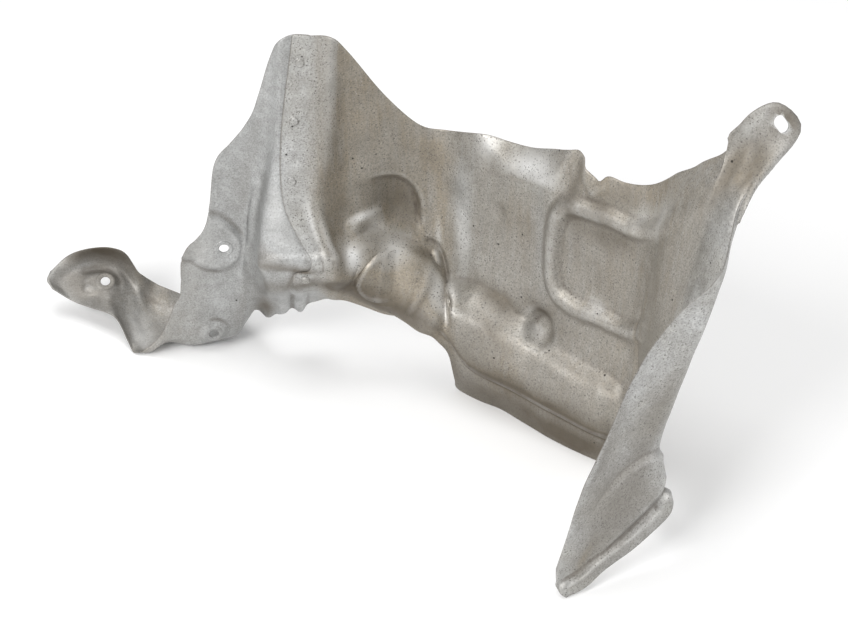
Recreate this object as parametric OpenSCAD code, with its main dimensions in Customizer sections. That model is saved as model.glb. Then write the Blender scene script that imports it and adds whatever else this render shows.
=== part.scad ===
// Heat shield for a steering gear, pressed from thin sheet in two parts. The left
// sheet (gutter, wing and rear lap of the tower) lies behind the main sheet (front
// of the tower, back wall, right wall, ear and leg), and four clinched buttons hold
// the two together along the tower.
// Frame: millimetres, Z up, Z 0 is the floor it stands on. X runs along the shield,
// from the lobe on the left to the ear on the right, and Y runs from front to back.

/* [Overall size] */
// Length of the left wing, from the tip of its lobe to the tower
wing_length = 150; // [130:1:170]
// Width of the tower at its foot
tower_width = 44; // [38:1:52]
// Length of the back wall along X, from the tower to the right wall
wall_length = 186; // [165:1:210]
// Reach of the ear beyond the right wall
ear_reach = 78; // [68:1:90]
// Reach of the leg in front of the right corner
leg_reach = 125; // [110:1:140]
// Depth of the back wall, from the right corner to the tower
wall_depth = 103; // [90:1:115]
// Depth of the gutter and lobe behind the tower
gutter_depth = 73; // [64:1:84]
// Height of the lower half, from the floor to the foot of the tower panel
lower_height = 100; // [88:1:112]
// Height of the upper half, from there to the top of the ear
upper_height = 176; // [150:1:200]

/* [Sheet] */
// Thickness of both sheets
sheet_t = 0.9; // [0.6:0.1:1.2]
// Air between the two sheets where they lap
lap_gap = 0.1; // [0.05:0.05:0.3]

/* [Clinched lap] */
// Radius of a clinched button
button_r = 2.7; // [2.4:0.1:3.4]
// Height of a clinched button above the sheet
button_h = 1.3; // [0.8:0.1:1.8]

/* [Bosses of the left sheet] */
// Radius of the holes for the fixing screws
hole_r = 3.2; // [2.2:0.1:3.6]
// Radius of the raised collar round a hole
collar_r = 5.4; // [4.8:0.1:6]
// Height of that collar above its boss
collar_h = 0.8; // [0.5:0.1:1.2]
// Radius of the large boss at the edge of the wing
boss_1_r = 13; // [11:0.5:15]
// Radius of the round boss at the foot of the wing
boss_2_r = 10.5; // [9:0.5:12]
// Radius of the long boss in the lobe
boss_3_r = 11; // [9:0.5:12]
// Height of the three bosses
boss_h = 3.5; // [2:0.25:4.5]

/* [Ear] */
// Width of the slot in the ear
slot_w = 6.5; // [5:0.25:7.5]
// Length of the slot in the ear
slot_l = 10.5; // [8.5:0.25:12]

/* [Formed details of the main sheet] */
// Half width of the arched pocket
pocket_r = 17; // [14:0.5:19]
// Depth of the arched pocket
pocket_d = 6; // [3:0.5:7]
// Half width of the slanting bulge that clears a pipe
bulge_r = 21; // [18:0.5:23]
// Height of the slanting bulge
bulge_h = 8; // [5:0.5:10]
// Half width of the pad beside it
pad_r = 19; // [16:0.5:21]
// Height of that pad
pad_h = 7; // [4:0.5:9]
// Half width of the long rib over the skirt
rib_r = 15; // [12:0.5:17]
// Height of the long rib
rib_h = 5; // [3:0.5:7]
// Depth of the crease under the rib
crease_d = 3; // [1.5:0.25:4]
// Radius of the round dimple
ball_r = 9; // [8:0.5:11]
// Depth of the round dimple
ball_d = 6; // [3:0.5:7]
// Half width of the bead that frames the window panel
bead_r = 6.5; // [5.5:0.25:8]
// Height of that bead
bead_h = 4; // [2:0.25:5]
// Depth of the facet at the upper edge
facet_d = 6; // [3:0.5:8]
// Height of the raised panel of the leg
panel_h = 3; // [1.5:0.25:4]
// Width of the flanged rim of the leg
rim_w = 10; // [8:0.5:12]
// Height of that rim
rim_h = 3.5; // [2:0.25:4.5]
// Half width of the two gussets under the tower
gusset_r = 4.5; // [3.5:0.25:5.5]
// Height of the gussets
gusset_h = 3; // [2:0.25:4]

/* [Hidden] */
// Facets round the turned shapes
$fn = 32;
// Room left round the cup of the left sheet inside a button
nest = 0.15;
// Outer radius of that cup
cup_r = button_r - sheet_t - nest;

// Ribs of the form, one list to each station along the shield. Every rib runs from the
// lower or rear free edge up to the upper or front one. The left sheet has the stations
// 0 to 14 and the main sheet has 13 to 38, so both have the strip where they lap.
stations = [
  // 0 lobe tip
  [[-251,158,27], [-253,152,24], [-249,146,21]],
  // 1
  [[-240,163,36], [-243,157,24], [-242,150,19], [-236,142,15]],
  // 2
  [[-225,165,42], [-226,163,30], [-227,150,22], [-227,142,16], [-223,135,14]],
  // 3 lobe, at its hole
  [[-208,164,43], [-209,161,29], [-211,150,22], [-211,138,17], [-206,124,14]],
  // 4 lobe root
  [[-195,163,36], [-197,157,19], [-199,142,11], [-199,124,6], [-196,110,4]],
  // 5 lobe root, front corner
  [[-185,160,28], [-187,154,11], [-188,144,6], [-189,132,3],
    [-189,121,2], [-190,112,1], [-190,106,1], [-190,102,1]],
  // 6 gutter
  [[-173,158,23], [-174,150,5], [-176,136,1], [-177,122,1],
    [-178,110,1], [-178,102,3], [-178,100,7], [-178,100,14]],
  // 7
  [[-155,155,15], [-156,147,2], [-157,130,0], [-156,109,2],
    [-155,103,16], [-154,102,36], [-153,101,60], [-152,100,86]],
  // 8
  [[-137,148,11], [-138,140,3], [-138,126,1], [-137,110,5],
    [-136,105,28], [-134,105,62], [-133,104,102], [-132,103,146]],
  // 9
  [[-122,138,16], [-122,130,10], [-122,120,8], [-122,110,13],
    [-121,107,40], [-118,107,78], [-115,105,120], [-111,103,171]],
  // 10 valley beside the tower
  [[-110,124,20], [-111,118,24], [-111,111,30], [-111,108,42],
    [-110,107,68], [-107,106,106], [-104,104,148], [-101,100,194]],
  // 11 left bend of the tower
  [[-103,112,22], [-102,106,34], [-101,98,46], [-99,88,58],
    [-101,90,88], [-100,94,124], [-96,92,172], [-92,92,228]],
  // 12 tower, left face
  [[-93,108,26], [-93,101,38], [-92,92,51], [-90,78,68],
    [-92,70,98], [-93,80,130], [-90,85,178], [-86,88,240]],
  // 13 seam
  [[-83,108,31], [-82,101,42], [-80,92,54], [-80,78,70],
    [-71,65,96], [-86,78,130], [-87,84,175], [-78,88,244]],
  // 14 clinched strip, middle
  [[-71,108,36], [-70,101,45], [-69,93,54], [-69,80,71],
    [-63,65,97], [-73,77,130], [-74,83,176], [-68,87,244]],
  // 15 right bend of the tower
  [[-59,91,52], [-58,82,68], [-54,70,94], [-62,79,130], [-61,86,175], [-57,89,242]],
  // 16
  [[-49,92,50], [-49,86,64], [-47,84,92], [-48,90,124], [-48,94,168], [-46,96,228]],
  // 17 back wall, at the pocket
  [[-28,88,43], [-27,80,58], [-25,95,94], [-24,99,126], [-24,101,162], [-24,103,194]],
  // 18
  [[-8,80,42], [-6,72,59], [-3,99,91], [-3,103,122], [-2,105,150], [-3,106,172]],
  // 19
  [[9,62,32], [13,50,54], [15,96,84], [15,100,117], [14,102,145], [14,104,169]],
  // 20
  [[20,60,3], [29,42,35], [36,78,70], [36,80,107], [37,82,143], [37,84,178]],
  // 21
  [[50,37,0], [57,24,29], [61,56,64], [61,58,107], [60,60,149], [59,62,187]],
  // 22
  [[76,11,0], [82,4,26], [85,33,60], [84,35,108], [82,37,150], [80,39,197]],
  // 23
  [[102,-10,0], [106,-15,24], [108,12,56], [108,14,103], [106,16,145], [103,18,190]],
  // 24 corner between the walls
  [[119,-24,2], [123,-20,24], [127,-11,56], [127,-8,107], [128,-6,153], [131,-4,196]],
  // 25 right wall
  [[126,-46,18], [127,-45,48], [131,-43,92], [135,-42,138], [140,-39,184], [150,-39,232]],
  // 26 right wall, foot of the ear
  [[130,-64,26], [129,-65,58], [134,-66,96], [142,-67,142], [153,-65,204], [161,-56,249]],
  // 27 ear, inner side
  [[131,-68,28], [130,-70,60], [135,-71,97], [144,-72,144], [161,-67,224], [171,-56,269]],
  // 28 ear, top
  [[132,-73,29], [131,-75,62], [136,-76,98], [146,-77,146], [168,-67,238], [190,-49,276]],
  // 29 ear, tip
  [[134,-78,30], [132,-80,64], [137,-81,99], [148,-82,148], [173,-72,239], [205,-46,259]],
  // 30 ear, outer side
  [[136,-82,31], [133,-84,66], [138,-86,100], [149,-87,150], [170,-77,229], [192,-57,244]],
  // 31 ear, outer root
  [[138,-86,33], [134,-88,68], [139,-90,101], [150,-91,150], [166,-88,206], [172,-79,232]],
  // 32 fold
  [[142,-91,35], [135,-93,70], [140,-95,102], [151,-96,146], [160,-96,180], [164,-95,206]],
  // 33 leg
  [[142,-94,28], [131,-98,65], [135,-100,100], [144,-101,138], [152,-101,166], [156,-101,192]],
  // 34
  [[133,-101,22], [123,-103,58], [124,-104,92], [128,-105,124], [132,-105,150], [136,-104,170]],
  // 35
  [[117,-112,13], [109,-113,46], [109,-113,76], [111,-113,100], [114,-113,122], [118,-112,142]],
  // 36
  [[102,-122,8], [98,-123,32], [96,-124,54], [96,-124,72], [98,-124,86], [101,-122,100]],
  // 37
  [[92,-130,3], [88,-131,18], [86,-132,32], [85,-132,44], [85,-132,54], [87,-131,64]],
  // 38 foot tip
  [[81,-135,0], [79,-136,2], [77,-136,5], [76,-136,8], [76,-135,12], [76,-134,18]],
];
// The form is stretched between these planes, each to its named size
x_marks = [-253, -103, -59, 127, 205];
y_marks = [-136, -11, 92, 165];
z_marks = [0, 100, 276];
x_ends = [-103 - wing_length, -103, -103 + tower_width, -103 + tower_width + wall_length,
  -103 + tower_width + wall_length + ear_reach];
y_ends = [-11 - leg_reach, -11, -11 + wall_depth, -11 + wall_depth + gutter_depth];
z_ends = [0, lower_height, lower_height + upper_height];
// Middle of the whole on the floor, where the origin goes: the rim of the foot adds to the
// depth, and the spline rounds a little past the outermost points
centre = [(x_ends[0] + x_ends[4]) / 2 + 0.27, (y_ends[0] + y_ends[3] - rim_h) / 2 + 0.15, -0.57];
function span(v, m, k) = (v <= m[k + 1] || k >= len(m) - 2) ? k : span(v, m, k + 1);
function stretch(v, m, e) =
  let (k = span(v, m, 0)) e[k] + (v - m[k]) * (e[k + 1] - e[k]) / (m[k + 1] - m[k]);
function sized(p) =
  [stretch(p.x, x_marks, x_ends), stretch(p.y, y_marks, y_ends), stretch(p.z, z_marks, z_ends)];

// Spline through four neighbours, and a list with one more point added at each end
function curve(a, b, c, d, t) = b + 0.5 * t * ((c - a) + t * ((2 * a - 5 * b + 4 * c - d)
  + t * (3 * b - a - 3 * c + d)));
function longer(p) = let (n = len(p) - 1) concat([2 * p[0] - p[1]], p, [2 * p[n] - p[n - 1]]);
function along(q, s) = let (k = max(0, min(len(q) - 4, floor(s))))
  curve(q[k], q[k + 1], q[k + 2], q[k + 3], s - k);

// Every station gets eight rows: 0 and 1 are the lower band, 2 to 7 the face
function rows(p) = len(p) == 8 ? p
  : len(p) == 6 ? concat([3 * p[0] - 2 * p[1], 2 * p[0] - p[1]], p)
  : let (q = longer(p)) [for (k = [0:7]) along(q, k * (len(p) - 1) / 7)];
net = longer([for (st = stations) longer(rows([for (p = st) sized(p)]))]);

// Point of the plain form at a station u and a row v, and its normal
function form(u, v) = let (k = max(0, min(len(net) - 4, floor(u))))
  curve(along(net[k], v), along(net[k + 1], v), along(net[k + 2], v), along(net[k + 3], v), u - k);
function unit(p) = p / norm(p);
function form_normal(u, v) = let (e = 0.02)
  unit(cross(form(u + e, v) - form(u - e, v), form(u, v + e) - form(u, v - e)));

// Pressed details: the line of the middle in stations and rows, half width, height
// out of the sheet and width of the flank
details = [
  [[[16.9, 4.7], [17.2, 4.95], [17.45, 4.85], [17.6, 4.3]], pocket_r, -pocket_d, 8],
  [[[16.4, 3.65], [17.2, 3.55], [18, 3.4], [18.5, 3.25]], bulge_r, bulge_h, 15],
  [[[18.25, 4.04], [18.54, 3.96], [18.75, 3.88], [18.85, 3.7], [18.96, 3.5]], 6, -5, 6],
  [[[19.35, 3.3], [20.2, 3.4]], pad_r, pad_h, 10],
  [[[18.96, 2.8], [19.9, 3], [21, 3], [22, 3], [24, 2.97]], 5, -crease_d, 5],
  [[[20.5, 3.5], [21.5, 3.6], [22.5, 3.65], [23.8, 3.7]], rib_r, rib_h, 13],
  [[[21.54, 4.08], [21.56, 4.1]], ball_r, -ball_d, 7],
  [[[24, 6.2], [22.62, 6.29], [22.21, 6.04], [21.92, 5.62], [21.83, 4.88], [22.04, 4.67],
    [22.46, 4.71], [23.9, 4.75]], bead_r, bead_h, 5.5],
  [[[20.5, 7.1], [21.6, 7.1]], 26, -facet_d, 21],
  [[[20.42, 5.58], [20.44, 5.6]], 9, -1.5, 9],
  [[[23.04, 6.83], [23.06, 6.85]], 8, 2, 6],
  [[[24.8, 7.1], [26, 7.1]], 20, -5, 17],
  [[[28.2, 6.5], [28.4, 6.65]], 11, 1.5, 9],
  [[[33.1, 3], [34.4, 2.95]], 11, -panel_h, 5],
  [[[33, 2], [34.5, 2], [35.7, 2], [36.9, 2], [37.6, 2]], rim_w, -rim_h, 3],
  [[[8.29, 5.38], [7.62, 5.85], [6.9, 6.8]], boss_1_r, boss_h, 4],
  [[[7.88, 3.56], [7.89, 3.57]], boss_2_r, boss_h, 4.5],
  [[[2.5, 3.6], [3.3, 3.3]], boss_3_r, -boss_h, 4],
  [[[11.9, 2.5], [11.85, 0]], gusset_r, gusset_h, 4],
  [[[13.2, 2.2], [13, 0]], gusset_r, gusset_h, 4],
  [[[8.3, 6.7], [8.65, 6.45]], 5, 1.5, 4.5]
];

// The middle lines laid on the form, each with the corners of the box that it can reach
function trail(path) = concat([for (k = [0:len(path) - 2], m = [0:3])
  let (c = path[k] + (path[k + 1] - path[k]) * m / 4) form(c[0], c[1])],
  [let (c = path[len(path) - 1]) form(c[0], c[1])]);
traced = [for (d = details) let (t = trail(d[0]))
  [t, d[1], d[2], d[3],
    [for (a = [0:2]) min([for (p = t) p[a]]) - d[1]],
    [for (a = [0:2]) max([for (p = t) p[a]]) + d[1]]]];
function inside(p, lo, hi) =
  p.x > lo.x && p.x < hi.x && p.y > lo.y && p.y < hi.y && p.z > lo.z && p.z < hi.z;
function off_leg(p, a, b) = let (s = b - a) norm(p - a - s * max(0, min(1, (p - a) * s / (s * s))));
function off_trail(p, t) = min([for (k = [0:len(t) - 2]) off_leg(p, t[k], t[k + 1])]);
function ease(x) = let (c = max(0, min(1, x))) c * c * c * (c * (6 * c - 15) + 10);
function total(v) = len(v) == 0 ? 0 : v * [for (k = v) 1];
function rise(p) = total([for (d = traced) if (inside(p, d[4], d[5]))
  d[2] * ease((d[1] - off_trail(p, d[0])) / d[3])]);

// Point of the pressed face, and its normal
function face(u, v) = let (p = form(u, v), h = rise(p)) h == 0 ? p : p + h * form_normal(u, v);
function face_normal(u, v) = let (e = 0.05)
  unit(cross(face(u + e, v) - face(u - e, v), face(u, v + e) - face(u, v - e)));

// Free edges in stations and rows: the upper one, the lower one, and the number of
// columns up to the next pair
left_edges = [
  [[0, 7], [0, 0], 3], [[0.7, 7], [0.7, 0], 3], [[1.4, 7], [1.4, 0], 3], [[2.1, 7], [2.1, 0], 3],
  [[2.8, 7], [2.8, 0], 3], [[3.5, 7], [3.4, 0], 1], [[4, 7], [3.7, 0.15], 1],
  [[4.5, 7], [4, 0.5], 1], [[5, 7], [4.4, 0.55], 1], [[5.3, 7], [4.9, 0.3], 1],
  [[5.6, 7], [5.3, 0.1], 2], [[6, 6.3], [5.7, 0], 1], [[6.28, 5.75], [6.1, 0], 1],
  [[6.48, 5.8], [6.4, 0], 1], [[6.64, 5.95], [6.6, 0], 1], [[6.8, 5.85], [6.75, 0], 1],
  [[6.87, 6.1], [6.85, 0], 1], [[6.83, 6.6], [6.95, 0], 1], [[6.86, 7], [7.05, 0], 1],
  [[7.05, 6.9], [7.15, 0], 1], [[7.3, 6.55], [7.3, 0], 2], [[7.6, 6.3], [7.6, 0], 2],
  [[7.85, 6.4], [7.85, 0], 2], [[8.05, 6.9], [8.05, 0], 4], [[8.5, 6.95], [8.5, 0], 4],
  [[9, 7], [9, 0], 4], [[10, 7], [10, 0], 3], [[11, 7], [11, 0], 4], [[12, 7], [12, 0], 4],
  [[13, 7], [13, 0], 3], [[14, 7], [14, 0], 1]
];
main_edges = [for (e = [[13, 7, 3], [14, 7, 3], [15, 7, 3], [16, 7, 5], [17, 7, 5], [18, 7, 5],
  [19, 7, 5], [20, 7, 5], [21, 7, 5], [22, 7, 2], [22.4, 7.02, 2], [22.7, 6.96, 2], [23, 6.9, 1],
  [23.2, 7.02, 2], [23.5, 7, 2], [24, 7, 3], [25, 7, 2], [26, 7, 2], [27, 7, 2], [28, 7, 2],
  [29, 7, 2], [30, 7, 2], [31, 7, 2], [32, 7, 3], [33, 7, 3], [34, 7, 3], [35, 7, 3], [36, 7, 3],
  [37, 7, 3], [38, 7, 1]]) [[e[0], e[1]], [e[0], 2], e[2]]];
// Rows of facets on the face, and on the lower band
face_rows = 31;
band_rows = 6;

// Grid of stations and rows between the two free edges. With a band, the line at row 2
// parts the band from the face, so that the face has the same rows in both sheets.
function steps(e) = concat([for (k = [0:len(e) - 2], m = [0:e[k][2] - 1]) k + m / e[k][2]],
  [len(e) - 1]);
// The main sheet's edge has a tab that reaches to the left round the lowest button: there
// the stations 12 to 14 of both sheets move over
function lap(c) = [c[0] - 0.5 * ease((3.95 - c[1]) / 0.35) * max(0, 1 - abs(c[0] - 13)), c[1]];
function grid(e, band) =
  let (top = longer([for (k = e) k[0]]), low = longer([for (k = e) k[1]]),
    mid = longer([for (k = e) [k[1][0] + (k[0][0] - k[1][0]) * 2 / 7, max(k[1][1], 2)]]))
  [for (s = steps(e)) let (a = along(low, s), b = along(mid, s), c = along(top, s))
    concat(band ? [for (m = [0:band_rows - 1]) a + (b - a) * m / band_rows] : [],
      [for (m = [0:face_rows]) (band ? b : a) + (c - (band ? b : a)) * m / face_rows])];

// Closed sheet between two copies of the pressed face, from near to far along its normal
module sheet(e, band, near, far) {
  g = grid(e, band);
  nu = len(g);
  nv = len(g[0]);
  p = [for (col = g) [for (c = col) let (q = lap(c)) face(q[0], q[1])]];
  n = [for (i = [0:nu - 1]) [for (j = [0:nv - 1])
    unit(cross(p[min(i + 1, nu - 1)][j] - p[max(i - 1, 0)][j],
      p[i][min(j + 1, nv - 1)] - p[i][max(j - 1, 0)]))]];
  pts = concat([for (i = [0:nu - 1], j = [0:nv - 1]) p[i][j] + far * n[i][j]],
    [for (i = [0:nu - 1], j = [0:nv - 1]) p[i][j] + near * n[i][j]]);
  b = nu * nv;
  faces = concat(
    [for (i = [0:nu - 2], j = [0:nv - 2]) let (a = i * nv + j) [a, a + nv + 1, a + nv]],
    [for (i = [0:nu - 2], j = [0:nv - 2]) let (a = i * nv + j) [a, a + 1, a + nv + 1]],
    [for (i = [0:nu - 2], j = [0:nv - 2]) let (a = b + i * nv + j) [a, a + nv, a + nv + 1]],
    [for (i = [0:nu - 2], j = [0:nv - 2]) let (a = b + i * nv + j) [a, a + nv + 1, a + 1]],
    [for (i = [0:nu - 2]) let (a = i * nv) each strip(a, a + nv, b)],
    [for (i = [0:nu - 2]) let (a = i * nv + nv - 1) each strip(a + nv, a, b)],
    [for (j = [0:nv - 2]) each strip(j + 1, j, b)],
    [for (j = [0:nv - 2]) let (a = (nu - 1) * nv + j) each strip(a, a + 1, b)]);
  polyhedron(points = pts, faces = faces, convexity = 12);
}
function strip(a, c, b) = [[a, c, c + b], [a, c + b, a + b]];

// Stands children on the pressed face, Z along its normal and X along the stations
module on_face(u, v) {
  p = face(u, v);
  n = face_normal(u, v);
  x = unit(cross(n, cross(face(u + 0.05, v) - face(u - 0.05, v), n)));
  y = cross(n, x);
  multmatrix([[x.x, y.x, n.x, p.x], [x.y, y.y, n.y, p.y], [x.z, y.z, n.z, p.z], [0, 0, 0, 1]])
    children();
}

// Places of the clinched buttons, and of the holes: station, row and side of the collar
buttons = [[13.6, 6.75], [13.6, 6.2], [13.5, 5.42], [13.15, 3.45]];
holes = [[8.29, 5.38, 1], [7.88, 3.56, 1], [2.79, 3.4, -1]];
slot_at = [28.45, 6.85];
slot_turn = -13;

// Button of the main sheet: a shallow cup, hollow behind, rooted in the sheet
module button() {
  top = lap_gap + sheet_t + button_h;
  root = lap_gap + sheet_t / 2;
  rotate_extrude() polygon([[0, top], [button_r - 0.6, top], [button_r, top - 0.6],
    [button_r, root + 0.1], [button_r + 0.4, root + 0.1], [button_r + 0.4, root],
    [button_r - sheet_t, root], [button_r - sheet_t, top - sheet_t], [0, top - sheet_t]]);
}

// Cup of the left sheet that stands inside a button
module cup() {
  top = lap_gap + button_h - nest;
  root = -sheet_t / 2;
  bore = max(0.4, cup_r - sheet_t);
  rotate_extrude() polygon([[0, top], [cup_r - 0.3, top], [cup_r, top - 0.3], [cup_r, root + 0.1],
    [cup_r + 0.6, root + 0.1], [cup_r + 0.6, root], [bore, root], [bore, top - sheet_t / 2],
    [0, top - sheet_t / 2]]);
}

// Raised collar round a hole
module collar() {
  rotate_extrude() polygon([[hole_r, 0.1 - sheet_t], [collar_r, 0.1 - sheet_t],
    [collar_r, collar_h - 0.3], [collar_r - 0.3, collar_h], [hole_r, collar_h]]);
}

module left_shield() {
  color([0.72, 0.72, 0.70]) translate(-centre) {
    difference() {
      sheet(left_edges, true, -sheet_t, 0);
      for (h = holes) on_face(h[0], h[1]) cylinder(h = 12, r = hole_r + 0.8, center = true);
      for (c = buttons) on_face(c[0], c[1]) cylinder(h = 6, r = cup_r + 0.2, center = true);
    }
    for (h = holes) on_face(h[0], h[1]) translate([0, 0, h[2] > 0 ? 0 : -sheet_t])
      mirror([0, 0, h[2] > 0 ? 0 : 1]) collar();
    for (c = buttons) on_face(c[0], c[1]) cup();
  }
}

module main_shield() {
  color([0.66, 0.64, 0.60]) translate(-centre) {
    difference() {
      sheet(main_edges, false, lap_gap, lap_gap + sheet_t);
      for (c = buttons) on_face(c[0], c[1]) cylinder(h = 8, r = button_r, center = true);
      on_face(slot_at[0], slot_at[1]) rotate([0, 0, slot_turn]) {
        translate([(slot_l - slot_w) / 2, 0, 0]) cylinder(h = 12, d = slot_w, center = true);
        translate([-(slot_l - slot_w) / 2, 0, 0]) cylinder(h = 12, d = slot_w, center = true);
        cube([slot_l - slot_w, slot_w, 12], center = true);
      }
    }
    for (c = buttons) on_face(c[0], c[1]) button();
  }
}

// Piece to build

left_shield();
main_shield();
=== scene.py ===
# %% [markdown]
# # A heat shield for a steering gear
#
# The shield stands between a hot exhaust pipe and the steering gear of a car. It is pressed from thin
# aluminium sheet in two parts, and four clinched buttons hold the two together along a tower. The sheets have
# no flat face at all: walls, gutters, pads and beads flow into each other, as they left the press.
#
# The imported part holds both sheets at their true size. It is faceted, with steps of 5 mm, and so coarse that a
# grazing light would show each facet. So this lesson draws both sheets again on the same ribs, 1 mm apart,
# gives them their bosses, collars and buttons, and finishes them in weathered bare metal.

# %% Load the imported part
import math
import bpy
import numpy as np
from mathutils import Matrix, Vector
from mathutils.kdtree import KDTree


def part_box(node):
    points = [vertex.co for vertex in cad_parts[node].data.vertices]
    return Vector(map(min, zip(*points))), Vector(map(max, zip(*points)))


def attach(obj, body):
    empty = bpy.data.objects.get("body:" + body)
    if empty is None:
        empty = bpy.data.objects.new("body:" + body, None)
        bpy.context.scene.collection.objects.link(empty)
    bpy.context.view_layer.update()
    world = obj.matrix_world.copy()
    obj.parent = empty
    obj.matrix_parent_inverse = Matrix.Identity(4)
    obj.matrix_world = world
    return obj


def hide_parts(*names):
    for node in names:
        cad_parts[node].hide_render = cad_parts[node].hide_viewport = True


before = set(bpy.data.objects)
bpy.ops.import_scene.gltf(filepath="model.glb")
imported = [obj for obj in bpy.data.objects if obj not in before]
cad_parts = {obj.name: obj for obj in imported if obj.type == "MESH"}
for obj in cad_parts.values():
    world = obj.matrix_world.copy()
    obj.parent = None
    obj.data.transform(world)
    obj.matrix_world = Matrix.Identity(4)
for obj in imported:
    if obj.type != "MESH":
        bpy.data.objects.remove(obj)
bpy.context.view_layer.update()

# %% [markdown]
# ## The ribs of the form
#
# A pressed sheet is one skin. It could be sculpted, or cut out of many loops of curves, but a boat builder's
# way suits it best: ribs stand in a row along the shield, each drawn through a few points, and a skin is
# stretched over them. Every rib runs from the lower or rear free edge up to the upper or front one, and its
# points are whole millimetres. The ribs 0 to 14 carry the left sheet and 13 to 38 the main one, so both have
# the strip where they lap.

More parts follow.
